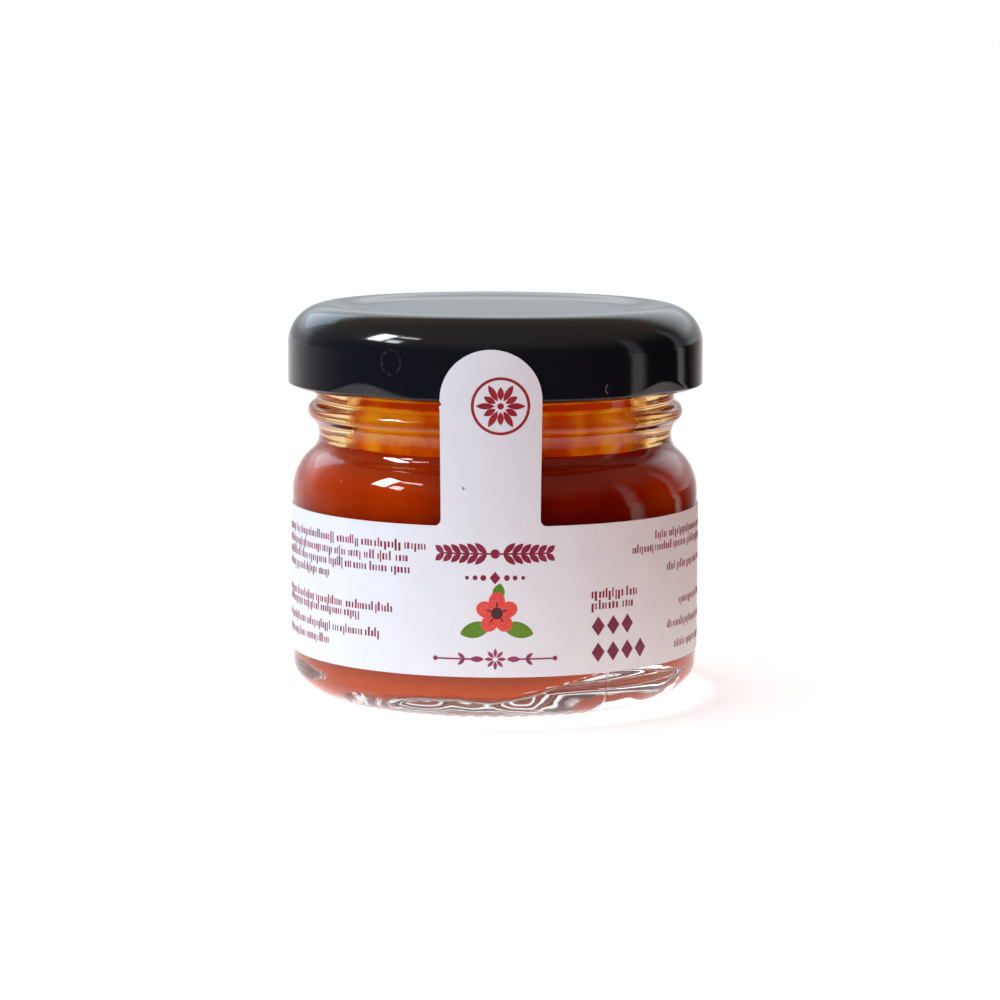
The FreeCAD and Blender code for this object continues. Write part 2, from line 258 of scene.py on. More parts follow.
class Wire:
    """One output in a finish's nodes. Sums, products and comparisons of wires add Math nodes."""

    def __init__(self, tree, socket):
        self.tree = tree
        self.socket = socket

    def node(self, kind, settings=(), inputs=(), output=0):
        """Any node: its settings are set first, then its sockets get values or other wires."""
        made = self.tree.nodes.new("ShaderNode" + kind)
        for name, value in dict(settings).items():
            setattr(made, name, value)
        for name, value in dict(inputs).items():
            if isinstance(value, Wire):
                self.tree.links.new(value.socket, made.inputs[name])
            else:
                made.inputs[name].default_value = value
        return Wire(self.tree, made.outputs[output] if len(made.outputs) else None)

    def math(self, operation, *others):
        return self.node("Math", {"operation": operation}, enumerate((self, *others)))

    def __add__(self, other):
        return self.math("ADD", other)

    def __sub__(self, other):
        return self.math("SUBTRACT", other)

    def __rsub__(self, other):
        return self.node("Math", {"operation": "SUBTRACT"}, {0: other, 1: self})

    def __mul__(self, other):
        return self.math("MULTIPLY", other)

    def __truediv__(self, other):
        return self.math("DIVIDE", other)

    def __pow__(self, other):
        return self.math("POWER", other)

    __radd__ = __add__
    __rmul__ = __mul__

    def rise(self, low, high):
        """0 below one value and 1 above another, with a smooth step between them."""
        span = {"Value": self, "From Min": low, "From Max": high}
        return self.node("MapRange", {"interpolation_type": "SMOOTHSTEP"}, span)

    def blend(self, low, high):
        """A colour from low, where this wire is 0, to high, where it is 1."""
        return self.node("Mix", {"data_type": "RGBA"}, {0: self, 6: low, 7: high}, 2)

    def grain(self, scale, detail=2.0, roughness=0.5):
        """Soft noise of that many features a metre, on these coordinates."""
        inputs = {"Vector": self, "Scale": scale, "Detail": detail, "Roughness": roughness}
        return self.node("TexNoise", {}, inputs)

    def along(self, axis):
        return self.node("SeparateXYZ", {}, {0: self}, "XYZ".index(axis))

    def relief(self, distance, under=None):
        """A bump of this height, on top of another one."""
        inputs = {"Height": self, "Distance": distance, "Strength": 1.0}
        if under is not None:
            inputs["Normal"] = under
        return self.node("Bump", {}, inputs)


def start_finish(name):
    """A new material: the material itself and its wire of Object coordinates."""
    material = bpy.data.materials.new(name)
    material.use_nodes = True
    material.node_tree.nodes.clear()
    place = material.node_tree.nodes.new("ShaderNodeTexCoord")
    return material, Wire(material.node_tree, place.outputs["Object"])


def make_piece(name, shape, finishes):
    """Turns a bmesh into a smooth-shaded piece that rides on the jar, with the given finishes as its
    materials.
    """
    mesh = bpy.data.meshes.new(name)
    shape.to_mesh(mesh)
    shape.free()
    for finish in finishes:
        mesh.materials.append(finish)
    mesh.shade_smooth()
    mesh.set_sharp_from_angle(angle=math.radians(35))
    thing = bpy.data.objects.new(name, mesh)
    bpy.context.collection.objects.link(thing)
    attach(thing, "root")
    return thing


def glass_finish(name, roughness):
    material, place = start_finish(name)
    seam_side = place.along("X") * math.cos(SEAM_TURN) + place.along("Y") * math.sin(SEAM_TURN)
    seam = 1 - seam_side.math("ABSOLUTE").rise(0.04 * MM, 0.16 * MM)
    waves = place.grain(90, 1.0).relief(0.05 * MM)
    seams = seam.relief(0.03 * MM, waves)
    tint = place.grain(60, 2.0).blend((0.985, 0.995, 0.99, 1), (0.995, 1.0, 0.998, 1))
    surface = place.node("BsdfPrincipled", {}, {
        "Base Color": tint, "Roughness": roughness, "IOR": 1.52, "Transmission Weight": 1.0,
        "Normal": seams})
    place.node("OutputMaterial", {}, {"Surface": surface})
    return material


glass_slots = [glass_finish("clear_glass", 0.0), glass_finish("knurled_glass", 0.3)]
jar = make_piece("jar_glass", jar_shape, glass_slots)
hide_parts("glass_jar")


# --- The jam -------------------------------------------------------------------------------------------
# Amber-brown jam, set firm: it fills the jar up to the shoulder and reaches just into the glass, so that
# no air shows between them. Its top is nearly level and climbs the wall a little. A thin film of the same
# jam clings to the inside of the neck above it.

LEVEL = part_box("jam")[1].z / MM
INTO_WALL = 0.3
FILM_INTO_WALL, FILM_THICK = 0.06, 0.12

side_section = [point for point in inside(INTO_WALL) if point[1] < LEVEL + 1.0]
edge = side_section[-1]
top_section = [(edge[0] - 0.25, edge[1] + 0.05)]
for inwards, climb in ((0.5, 0.55), (0.8, 0.25), (1.3, 0.07), (2.0, 0.0)):
    top_section.append((edge[0] - inwards, LEVEL + climb))
top_section += straight((edge[0] - 2.0, LEVEL), (0, LEVEL), 18)[1:]
jam_shape = lathe(side_section + top_section, 192)
wall_points = []
for vert in jam_shape.verts:
    by_wall = math.hypot(vert.co.x, vert.co.y) / MM > BORE_R - 1 or vert.co.z < 10 * MM
    if by_wall and vert.co.z < (LEVEL - 0.5) * MM:
        wall_points.append(vert)
out_of_true(jam_shape, wall_points, -1)
for vert in jam_shape.verts:
    if vert.co.z > (LEVEL - 0.3) * MM:
        vert.co.z += MM * 0.22 * noise.noise(vert.co * 210 + Vector((7, 1, 0)))
for face in jam_shape.faces:
    middle = face.calc_center_median()
    turn = math.degrees(math.atan2(middle.x, -middle.y))
    if middle.z > (LEVEL - 0.1) * MM and math.hypot(middle.x, middle.y) < 16.7 * MM:
        face.material_index = 1
    elif face.normal.z < 0.355 * math.exp(-((turn - HEAVY_TURN) / HEAVY_SPREAD) ** 2) - 0.955:
        face.material_index = 2


def jam_finish(name, shine, mirrors=None):
    material, place = start_finish(name)
    pulp = place.grain(240, 4.0, 0.55)
    streaks = place.grain(90, 2.0)
    depth = (pulp * 0.5 + streaks * 0.5).rise(0.30, 0.70)
    # Painted shade: between about 9 mm left and 19 mm right of the axis, across the middle as seen from the
    # front, the jam takes a darker red copy of its colour, and a lighter, lit copy to the sides.
    side_way = place.along("X") / MM + streaks * 6 - 3
    painted_centre_shade = side_way.rise(-9, 0) * side_way.rise(19, 12)
    lit_fruit = depth.blend((0.46, 0.036, 0.0001, 1), (0.58, 0.058, 0.0002, 1))
    shaded_fruit = depth.blend((0.25, 0.0060, 0.0001, 1), (0.34, 0.014, 0.0001, 1))
    # Painted light: below about 7 mm the jam turns a brighter orange, as if lit from below through the
    # base.
    lower = (place.along("Z") / MM + streaks * 2).rise(9.0, 5.5)
    body = lower.blend(painted_centre_shade.blend(lit_fruit, shaded_fruit), (0.50, 0.068, 0.0008, 1))
    specks = place.node("TexVoronoi", {}, {"Vector": place, "Scale": 330})
    lit = (1 - specks.rise(0.02, 0.05)) * place.grain(900, 1.0).rise(0.62, 0.66)
    colour = lit.blend(body, (0.9, 0.45, 0.12, 1))
    surface = place.node("BsdfPrincipled", {}, {
        "Base Color": colour, "Roughness": 0.12 + pulp * 0.1, "IOR": 1.42, "Specular IOR Level": shine,
        "Subsurface Weight": 1.0, "Subsurface Radius": (1.0, 0.16, 0.03), "Subsurface Scale": 3.5 * MM,
        "Normal": pulp.relief(0.06 * MM)})
    if mirrors:
        mirror = place.node("BsdfPrincipled", {}, {
            "Base Color": place.grain(70).blend((0.95, 0.95, 0.95, 1), (1, 1, 1, 1)), "Metallic": 1.0,
            "Roughness": 0.02})
        shallow = place.node("LayerWeight", {}, {"Blend": 0.5}, "Facing").rise(*mirrors)
        surface = place.node("MixShader", {}, {0: shallow, 1: surface, 2: mirror})
    place.node("OutputMaterial", {}, {"Surface": surface})
    return material


jam_slots = [
    jam_finish("jam_side", 0.0, (0.66, 0.74)),
    jam_finish("jam_top", 0.5),
    jam_finish("jam_base", 0.0, (0.28, 0.40))]
jam = make_piece("jam_fill", jam_shape, jam_slots)
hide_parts("jam")

FILM_R = BORE_R + FILM_INTO_WALL
film_outer = [point for point in inside(FILM_INTO_WALL) if LEVEL + 0.4 < point[1] < LEVEL + 1.7]
film_outer += straight((FILM_R, LEVEL + 2.2), (FILM_R, RIM - 1.2), 60)
film_inner = [(r - FILM_THICK, z) for r, z in reversed(film_outer)]
film_shape = lathe(film_outer + film_inner, 256, closed=True)
for vert in film_shape.verts:
    r = math.hypot(vert.co.x, vert.co.y)
    z = vert.co.z / MM
    wall_r = min(p[0] for p in film_outer if abs(p[1] - z) < 0.6) * MM
    if r < wall_r - 0.05 * MM:
        blotch = noise.noise(Vector((vert.co.x, vert.co.y, vert.co.z * 1.6)) * 170)
        drawn_out = Vector((vert.co.x * 1.5, vert.co.y * 1.5, vert.co.z * 0.5))
        drips = noise.noise(drawn_out * 260 + Vector((4, 0, 9)))
        low = max(0.0, 1 - (z - LEVEL) / 5.0)
        thick = 0.02 + 0.10 * max(0.0, blotch + 0.15) + 0.08 * max(0.0, drips) + 0.20 * low ** 2
        scale = (r + (FILM_INTO_WALL - thick) * MM) / r
        vert.co.x *= scale
        vert.co.y *= scale
bmesh.ops.recalc_face_normals(film_shape, faces=film_shape.faces)

film_finish, place = start_finish("jam_film")
blotches = (place.grain(170, 3.0) * 0.6 + place.node("Mapping", {}, {
    "Vector": place, "Scale": (1.5, 1.5, 0.5)}).grain(260, 3.0) * 0.4).rise(0.36, 0.64)
up_way = place.along("Z") / MM
low = up_way.rise(33.0, 28.0)
side_way = place.along("X").math("ABSOLUTE") / MM
# Painted light: a band above about 33 mm, by the cap's edge, and a fainter one from 31 to 33 mm round the
# bead are made lighter gold, and the film there a little clearer.
band = up_way.rise(33.2, 33.7) * 1.3 + up_way.rise(31.0, 31.6) * up_way.rise(32.9, 32.3) * 0.35
thin = (side_way.rise(11.2, 15.2) * 1.15 + blotches * 0.26 + band * 0.16 - low * 0.10).rise(0.40, 1.10)
smear_place = (0.0128, -0.0100, 0.0297)
smear = place.node("VectorMath", {"operation": "DISTANCE"}, {0: place, 1: smear_place}, 1) / MM
brown = (smear + blotches * 1.6 - 0.8).rise(3.6, 1.8)
golden = blotches.blend((1.0, 0.62, 0.22, 1), (1.0, 0.80, 0.44, 1))
clear_film = place.node("BsdfPrincipled", {}, {
    "Base Color": brown.blend(golden, (0.50, 0.17, 0.03, 1)), "Roughness": 0.05, "IOR": 1.12,
    "Transmission Weight": 1.0, "Normal": place.grain(500, 3.0).relief(0.04 * MM)})
# Painted shade: a darker red band from about 32.5 to 33.6 mm and a dark line from about 30.7 to 31.7 mm
# stand in for the dark that the bead's refraction shows. The film is also made lighter towards the sides, a
# painted light for what comes through from behind; the blotches are its own uneven tone.
painted_red_shade = up_way.rise(32.5, 32.8) * up_way.rise(33.6, 33.2)
painted_shade_line = up_way.rise(30.7, 31.1) * up_way.rise(31.7, 31.3)
tone_and_painted_light = (blotches * 0.55 + band * 0.40 - painted_red_shade * 0.5 + side_way.rise(4, 13) * 0.25).rise(0.0, 1.0)
tone_and_painted_light = tone_and_painted_light * (1 - painted_shade_line * 0.45)
# Painted light: the thick film glows orange through its emission, as if lit from behind, though it is no
# lamp.
thick_film = place.node("BsdfPrincipled", {}, {
    "Base Color": tone_and_painted_light.blend((0.76, 0.080, 0.0005, 1), (1.0, 0.40, 0.012, 1)), "Roughness": 0.3,
    "Emission Color": tone_and_painted_light.blend((0.05, 0.003, 0, 1), (0.28, 0.072, 0.001, 1)), "Emission Strength": 1.0,
    "Specular IOR Level": 0.0, "Subsurface Weight": 1.0, "Subsurface Radius": (1.0, 0.3, 0.03),
    "Subsurface Scale": 0.4 * MM})
surface = place.node("MixShader", {}, {0: thin, 1: thick_film, 2: clear_film})
place.node("OutputMaterial", {}, {"Surface": surface})
make_piece("jam_film", film_shape, [film_finish])


# --- The cap -------------------------------------------------------------------------------------------
# A twist-off cap of thin tinplate, lacquered glossy black: a recessed panel, a round shoulder, a plain
# skirt and a rolled edge, pressed in at four places to make the lugs that hook under the threads.

CAP_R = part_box("cap")[1].x / MM
CAP_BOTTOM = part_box("cap")[0].z / MM
CAP_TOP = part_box("cap")[1].z / MM
CREASE = CAP_BOTTOM + 0.45
SKIRT_END, SKIRT_ROUND = CREASE + 0.12, 0.25
CURL_RADIUS = 0.7
SHOULDER_WIDE, SHOULDER_DROP = 4.4, 4.2
SKIRT_TOP = CAP_TOP - SHOULDER_DROP
CREST_R = CAP_R - SHOULDER_WIDE
RECESS, SLOPE_WIDE = 0.5, 5.0
PANEL_R = CREST_R - SLOPE_WIDE
SEAL_R = CREST_R - 0.8
SHEET = 0.3
INNER_SKIRT_R = CAP_R - SHEET
LUG_SPREAD = math.radians(10.5)
LUG_PRESS = 0.80


def s_step(inner, outer, steps):
    """Two equal arcs, level out of the lower inner point and level into the higher outer point."""
    wide, high = outer[0] - inner[0], outer[1] - inner[1]
    radius = (wide ** 2 + high ** 2) / (4 * high)
    turn = math.degrees(math.asin(wide / 2 / radius))
    rising = arc((inner[0], inner[1] + radius), radius, -90, turn - 90, steps)
    return rising + arc((outer[0], outer[1] - radius), radius, 90 + turn, 90, steps)[1:]


under = CAP_TOP - RECESS - SHEET
profile = straight((0, CAP_TOP - RECESS), (PANEL_R, CAP_TOP - RECESS), 6)
profile += s_step((PANEL_R, CAP_TOP - RECESS), (CREST_R, CAP_TOP), 8)[1:]
profile += ellipse((CREST_R, SKIRT_TOP), SHOULDER_WIDE, SHOULDER_DROP, 90, 0, 30)[1:]
profile += straight((CAP_R, SKIRT_TOP), (CAP_R, SKIRT_END), 22)[1:]
profile += arc((CAP_R - SKIRT_ROUND, SKIRT_END), SKIRT_ROUND, 0, -60, 6)[1:]
profile += straight(profile[-1], (CAP_R - 0.80, CAP_BOTTOM + 0.06), 4)[1:]
profile += arc((CAP_R - 0.95, CAP_BOTTOM + CURL_RADIUS), CURL_RADIUS, -82, -270, 12)[1:]
profile += straight(profile[-1], (INNER_SKIRT_R, CAP_BOTTOM + 1.5), 2)[1:]
profile += straight((INNER_SKIRT_R, CAP_BOTTOM + 1.5), (INNER_SKIRT_R, SKIRT_TOP), 6)[1:]
profile += ellipse((CREST_R, SKIRT_TOP), SHOULDER_WIDE - SHEET, SHOULDER_DROP - SHEET, 0, 90, 12)[1:]
profile += s_step((SEAL_R, under), (CREST_R, CAP_TOP - SHEET), 4)[-2::-1]
profile += straight((SEAL_R, under), (0, under), 5)[1:]
cap_shape = lathe(profile)
for face in cap_shape.faces:
    middle = face.calc_center_median()
    looks_down = face.normal.z < -0.3 and middle.z > CAP_BOTTOM * MM + 1.2 * MM
    looks_in = face.normal.dot(Vector((middle.x, middle.y, 0))) < 0 and middle.z < (CAP_TOP - 1.2) * MM
    if looks_down or looks_in:
        face.material_index = 1

for vert in cap_shape.verts:
    r = math.hypot(vert.co.x, vert.co.y) / MM
    above = vert.co.z / MM - CAP_BOTTOM
    turn = math.atan2(vert.co.x, -vert.co.y)
    if above < 2.2 and r > 21:
        away = min(abs(math.remainder(turn - lug, 2 * math.pi)) for lug in LUG_TURNS)
        bell = math.exp(-(away / LUG_SPREAD) ** 2)
        face_top = 0.45 + 1.30 * bell
        press = max(0.0, 1 - above / face_top)
        inwards = LUG_PRESS * bell * press
        vert.co.x *= (r - inwards) / r
        vert.co.y *= (r - inwards) / r

lacquer, place = start_finish("black_lacquer")
cloud = place.grain(120, 3.0)
dust = place.grain(5200, 2.0).rise(0.73, 0.78) * place.grain(160, 2.0).rise(0.45, 0.65)
scuff = place.node("Mapping", {}, {"Vector": place, "Scale": (1, 1, 7)}).grain(900, 4.0).rise(0.68, 0.8)
round_way = place.along("X").math("ARCTAN2", place.along("Y") * -1) * CAP_R
up_way = place.along("Z") / MM


def ring_mark(turn, height, wide, high, thickness):
    """A faint closed line on the skirt: 1 on the line and 0 off it."""
    across = (round_way - math.radians(turn) * CAP_R) / wide
    along = (up_way - height) / high
    reach = (across * across + along * along).math("SQRT")
    return 1 - (reach - 1).math("ABSOLUTE").rise(thickness * 0.4, thickness)


drop_mark = ring_mark(-28.6, 38.2, 1.15, 1.3, 0.16) * place.grain(3000, 3.0).rise(0.47, 0.66)
SCRATCH_TURN = 31.3
left_half = (round_way - math.radians(SCRATCH_TURN) * CAP_R).rise(0.1, -0.1)
scratch = ring_mark(SCRATCH_TURN, 35.4, 0.28, 0.42, 0.30) * left_half
marks = dust.math("MAXIMUM", scuff * 0.2).math("MAXIMUM", drop_mark * 0.22).math("MAXIMUM", scratch * 0.9)
colour = marks.blend((0.0085, 0.0092, 0.0130, 1), (0.13, 0.13, 0.14, 1))
peel = place.grain(1500, 2.0).relief(0.002 * MM)
surface = place.node("BsdfPrincipled", {}, {
    "Base Color": colour, "Roughness": 0.05 + cloud * 0.08 + marks * 0.4, "IOR": 1.5, "Normal": peel})
place.node("OutputMaterial", {}, {"Surface": surface})

gold, place = start_finish("gold_lacquer")
surface = place.node("BsdfPrincipled", {}, {
    "Base Color": place.grain(300, 3.0).blend((0.86, 0.46, 0.09, 1), (0.92, 0.56, 0.15, 1)),
    "Roughness": 0.35 + place.grain(700) * 0.1, "IOR": 1.5})
place.node("OutputMaterial", {}, {"Surface": surface})
cap = make_piece("cap_shell", cap_shape, [lacquer, gold])
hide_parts("cap")


# --- The label -----------------------------------------------------------------------------------------
# One piece of satin white label paper, cut to a band with a round-ended strap. The band goes round the
# body and the strap runs up over the cap's edge as a seal.

LABEL_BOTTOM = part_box("label")[0].z / MM
LABEL_TOP = 21.15
STRAP_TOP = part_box("label")[1].z / MM
STRAP_HALF = 5.3
STRAP_CORNER = 0.7
PAPER = 0.12
GLUE = 0.02
LABEL_TURN = math.radians(-1.1)
PAPER_R = BODY_R + GLUE + PAPER
BAND_HALF = math.pi * PAPER_R - 3.0


def paper_r(height):
    """Radius of the label's face at a height: on the body, across the neck to the cap, then on the cap."""
    on_body, on_cap = BODY_R + GLUE + PAPER, CAP_R + GLUE + PAPER
    low, high = SHOULDER_START - 0.1, CREASE
    share = max(0.0, min(1.0, (height - low) / (high - low)))
    over = max(0.0, (height - SKIRT_TOP) / SHOULDER_DROP)
    return on_body + (on_cap - on_body) * share - SHOULDER_WIDE * (1 - math.sqrt(1 - min(1.0, over) ** 2))


def wrap(shape, proud):
    """Bends a flat shape, drawn in millimetres along and up, round the jar, that far above the paper."""
    for vert in shape.verts:
        along, lift, up = vert.co
        radius = paper_r(up) + proud + lift
        turn = along / PAPER_R + LABEL_TURN
        vert.co = Vector((radius * math.sin(turn), -radius * math.cos(turn), up)) * MM


def cut_up(shape, low, high, pitch, normal):
    """Cuts flat faces across, so that they can bend."""
    for k in range(1, int((high - low) / pitch)):
        at = Vector(normal) * (low + k * pitch)
        geometry = shape.verts[:] + shape.edges[:] + shape.faces[:]
        bmesh.ops.bisect_plane(shape, geom=geometry, dist=1e-5, plane_co=at, plane_no=normal)


label_shape = bmesh.new()
right = [(BAND_HALF, LABEL_BOTTOM), (BAND_HALF, LABEL_TOP)]
right += arc((STRAP_HALF + STRAP_CORNER, LABEL_TOP + STRAP_CORNER), STRAP_CORNER, -90, -180, 6)
right += arc((0, STRAP_TOP - STRAP_HALF), STRAP_HALF, 0, 90, 20)
left = [(-x, z) for x, z in reversed(right[:-1])]
nick = [(-STRAP_HALF, 34.3), (-STRAP_HALF + 0.22, 34.0), (-STRAP_HALF - 0.08, 33.75), (-STRAP_HALF, 33.4)]
lower_left = [point for point in left if point[1] < 33.0]
outline = right + left[:len(left) - len(lower_left)] + nick + lower_left
label_shape.faces.new([label_shape.verts.new((x, 0, z)) for x, z in outline])
cut_up(label_shape, -BAND_HALF, BAND_HALF, 0.7, (1, 0, 0))
cut_up(label_shape, LABEL_BOTTOM, STRAP_TOP, 0.8, (0, 0, 1))
bmesh.ops.remove_doubles(label_shape, verts=label_shape.verts, dist=1e-4)
wrap(label_shape, 0.0)
bmesh.ops.recalc_face_normals(label_shape, faces=label_shape.faces)
if sum(face.normal.dot(face.calc_center_median()) for face in label_shape.faces) < 0:
    bmesh.ops.reverse_faces(label_shape, faces=label_shape.faces)
bmesh.ops.solidify(label_shape, geom=label_shape.faces, thickness=PAPER * MM)
bmesh.ops.recalc_face_normals(label_shape, faces=label_shape.faces)

paper, place = start_finish("label_paper")
fibre = place.node("Mapping", {}, {"Vector": place, "Scale": (1, 1, 5)}).grain(2600, 3.0)
mottle = place.grain(300, 3.0)
sheet = (fibre * 0.5 + mottle * 0.5).rise(0.3, 0.7).blend((0.84, 0.83, 0.85, 1), (0.88, 0.88, 0.89, 1))
speck_place = (-0.0033, -0.0224, 0.0252)
speck = place.node("VectorMath", {"operation": "DISTANCE"}, {0: place, 1: speck_place}, 1)
colour = speck.rise(0.22 * MM, 0.08 * MM).blend(sheet, (0.22, 0.24, 0.32, 1))
surface = place.node("BsdfPrincipled", {}, {
    "Base Color": colour, "Roughness": 0.4 + mottle * 0.15, "IOR": 1.45,
    "Normal": fibre.relief(0.004 * MM)})
place.node("OutputMaterial", {}, {"Surface": surface})
label = make_piece("label_sheet", label_shape, [paper])
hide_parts("label")


# --- The print -----------------------------------------------------------------------------------------
# Offset print on the label, a hair thick: crimson ornaments, rows of words shown as plain strokes, and a
# blossom with leaves.

INK = 0.010
RULE_HALF = 0.09
TITLE_MIDDLE, TITLE_UP = 0.5, 18.3
DOTS_UP = 15.75
WEIGHTS_START, WEIGHTS_PITCH = 11.95, 1.9
SPRIG_MIDDLE, SPRIG_UP = 0.55, 7.1
SEAL_MIDDLE, SEAL_UP = 1.0, 33.9
BLOSSOM_MIDDLE, BLOSSOM_UP = 0.7, 12.0


def blob(shape, sides, place, lift=0.0):
    """A flat convex figure: the points of a circle, each sent to its place along and up."""
    made = bmesh.ops.create_circle(shape, cap_ends=True, radius=1, segments=sides)["verts"]
    for vert in made:
        along, up = place(vert.co.x, vert.co.y)
        vert.co = Vector((along, lift, up))


def disc(shape, along, up, radius, sides=16, lift=0.0):
    blob(shape, sides, lambda x, y: (along + radius * x, up + radius * y), lift)


def block(shape, start, end, low, high):
    """A bar with square ends."""
    made = bmesh.ops.create_grid(shape, x_segments=1, y_segments=1, size=0.5)["verts"]
    for vert in made:
        x, y = vert.co.x + 0.5, vert.co.y + 0.5
        vert.co = Vector((start + (end - start) * x, 0, low + (high - low) * y))


def leaf(shape, along, up, length, width, degrees, blunt=1.0, lift=0.0):
    """A pointed leaf that grows out of a point in a direction."""
    turn = math.radians(degrees)

    def place(x, y):
        out = (x + 1) / 2 * length
        wide = (1 - x * x) ** blunt * math.copysign(width / 2, y) if abs(y) > 1e-6 else 0
        return (along + out * math.cos(turn) - wide * math.sin(turn),
                up + out * math.sin(turn) + wide * math.cos(turn))

    blob(shape, 22, place, lift)


def lozenge(shape, along, up, width, height):
    blob(shape, 4, lambda x, y: (along + x * width / 2, up + y * height / 2))


def ring(shape, along, up, radius, width):
    loops = []
    for r in (radius, radius - width):
        made = bmesh.ops.create_circle(shape, cap_ends=False, radius=r, segments=48)["verts"]
        for vert in made:
            vert.co = Vector((vert.co.x + along, 0, vert.co.y + up))
        loops += list({edge for vert in made for edge in vert.link_edges})
    bmesh.ops.bridge_loops(shape, edges=loops)


def words(shape, start, end, up, height, dice):
    """A row of words: plain upright strokes of the letters' height, with a few that rise or hang."""
    at = start
    low, high = up - height / 2, up + height / 2
    while at < end - 0.5:
        last = min(at + dice.choice((2, 3, 4, 5, 6, 7, 8)) * height * 0.78, end)
        while at < last - 0.1:
            thick = height * dice.choice((0.26, 0.34, 0.42))
            rise = height * dice.choice((0, 0, 0, 0.12, 0.55))
            hang = height * dice.choice((0, 0, 0, 0, 0.45))
            block(shape, at, at + thick, low - hang, high + rise)
            at += thick + height * dice.choice((0.24, 0.30, 0.38))
        at = last + 0.55 * height


def print_ink(name, shape, colour, faded, layer=0):
    """Cuts a flat drawing up, lays it on the label in its layer and gives it its ink."""
    xs = [vert.co.x for vert in shape.verts]
    zs = [vert.co.z for vert in shape.verts]
    cut_up(shape, min(xs), max(xs), 0.6, (1, 0, 0))
    cut_up(shape, min(zs), max(zs), 2.0, (0, 0, 1))
    wrap(shape, INK * (1 + layer))
    bmesh.ops.recalc_face_normals(shape, faces=shape.faces)
    for face in shape.faces:
        middle = face.calc_center_median()
        if face.normal.dot(Vector((middle.x, middle.y, 0))) < 0:
            face.normal_flip()
    bmesh.ops.solidify(shape, geom=shape.faces, thickness=1.5 * INK * MM)
    material, place = start_finish(name)
    screen = place.grain(4200, 2.0)
    patches = place.grain(420, 2.0)
    worn = (screen * 0.6 + patches * 0.4).rise(0.42, 0.68)
    surface = place.node("BsdfPrincipled", {}, {
        "Base Color": worn.blend(colour, faded), "Roughness": 0.35 + screen * 0.2, "IOR": 1.5,
        "Normal": screen.relief(0.002 * MM)})
    place.node("OutputMaterial", {}, {"Surface": surface})
    return make_piece(name, shape, [material])


dice = random.Random(7)
crimson = bmesh.new()

for side in (-1, 1):
    near, far = sorted((TITLE_MIDDLE, TITLE_MIDDLE + side * 5.7))
    block(crimson, near, far, TITLE_UP - RULE_HALF, TITLE_UP + RULE_HALF)
    for k in range(6):
        root = TITLE_MIDDLE + side * (0.85 + 0.92 * k)
        size = 1.72 - 0.10 * k
        for lean in (1, -1):
            leaf(crimson, root, TITLE_UP, size, 0.66, 90 - side * 90 + side * lean * 42, lift=0.003)
disc(crimson, TITLE_MIDDLE, TITLE_UP, 0.5, lift=0.006)

lozenge(crimson, TITLE_MIDDLE, DOTS_UP, 1.15, 1.35)
for k in range(1, 4):
    for side in (-1, 1):
        disc(crimson, TITLE_MIDDLE + side * (0.38 + 0.86 * k), DOTS_UP, 0.36 - 0.05 * k)

for end, up in ((-6.8, 18.85), (-8.5, 17.5), (-8.7, 16.25), (-19.8, 14.95),
                (-9.8, 11.95), (-15.1, 11.0), (-12.0, 9.15), (-20.0, 7.6)):
    words(crimson, -36 - 3 * dice.random(), end, up, 0.62, dice)
words(crimson, 11.1, 17.4, 13.55, 0.66, dice)
words(crimson, 11.1, 16.6, 12.35, 0.66, dice)
for start, end, up in ((20.0, 38, 19.2), (16.4, 39.6, 17.9), (22.3, 35.7, 15.5), (25.1, 38, 11.6),
                       (22.4, 38.5, 9.2), (24, 37, 6.9)):
    words(crimson, start, end, up, 0.6, dice)
for k in range(9):
    words(crimson, 46, 64 - 6 * (k == 8), 18.8 - 1.4 * k, 0.55, dice)
    words(crimson, -64, -46 - 7 * (k == 8), 18.8 - 1.4 * k, 0.55, dice)
print_ink("print_crimson", crimson, (0.27, 0.003, 0.035, 1), (0.36, 0.03, 0.085, 1))

plum = bmesh.new()
for count, up in ((3, 10.2), (4, 7.4)):
    for k in range(count):
        lozenge(plum, WEIGHTS_START + WEIGHTS_PITCH * k, up, 1.6, 2.1)
print_ink("print_plum", plum, (0.20, 0.012, 0.045, 1), (0.27, 0.04, 0.08, 1))

rose = bmesh.new()
for side in (-1, 1):
    near, far = sorted((SPRIG_MIDDLE + side * 1.5, SPRIG_MIDDLE + side * 6.2))
    outwards = 90 - side * 90
    block(rose, near, far, SPRIG_UP - RULE_HALF, SPRIG_UP + RULE_HALF)
    leaf(rose, SPRIG_MIDDLE + side * 1.2, SPRIG_UP, 1.5, 0.62, outwards, lift=0.003)
    for lean in (40, -40):
        leaf(rose, SPRIG_MIDDLE + side * 3.2, SPRIG_UP, 1.0, 0.40, outwards + lean, lift=0.003)
    disc(rose, SPRIG_MIDDLE + side * 6.4, SPRIG_UP, 0.26, lift=0.003)
for k in range(8):
    turn = math.pi * k / 4
    root = (SPRIG_MIDDLE + 0.2 * math.cos(turn), SPRIG_UP + 0.2 * math.sin(turn))
    leaf(rose, *root, 0.95, 0.38, 45 * k)
print_ink("print_rose", rose, (0.29, 0.025, 0.09, 1), (0.38, 0.07, 0.14, 1))

seal = bmesh.new()
ring(seal, SEAL_MIDDLE, SEAL_UP, 3.05, 0.30)
for k in range(12):
    turn = math.radians(30 * k)
    root = (SEAL_MIDDLE + 0.6 * math.cos(turn), SEAL_UP + 0.6 * math.sin(turn))
    leaf(seal, *root, 1.95 if k % 2 == 0 else 1.4, 0.68, 30 * k)
disc(seal, SEAL_MIDDLE, SEAL_UP, 0.34)
print_ink("print_seal", seal, (0.36, 0.003, 0.014, 1), (0.44, 0.02, 0.03, 1))

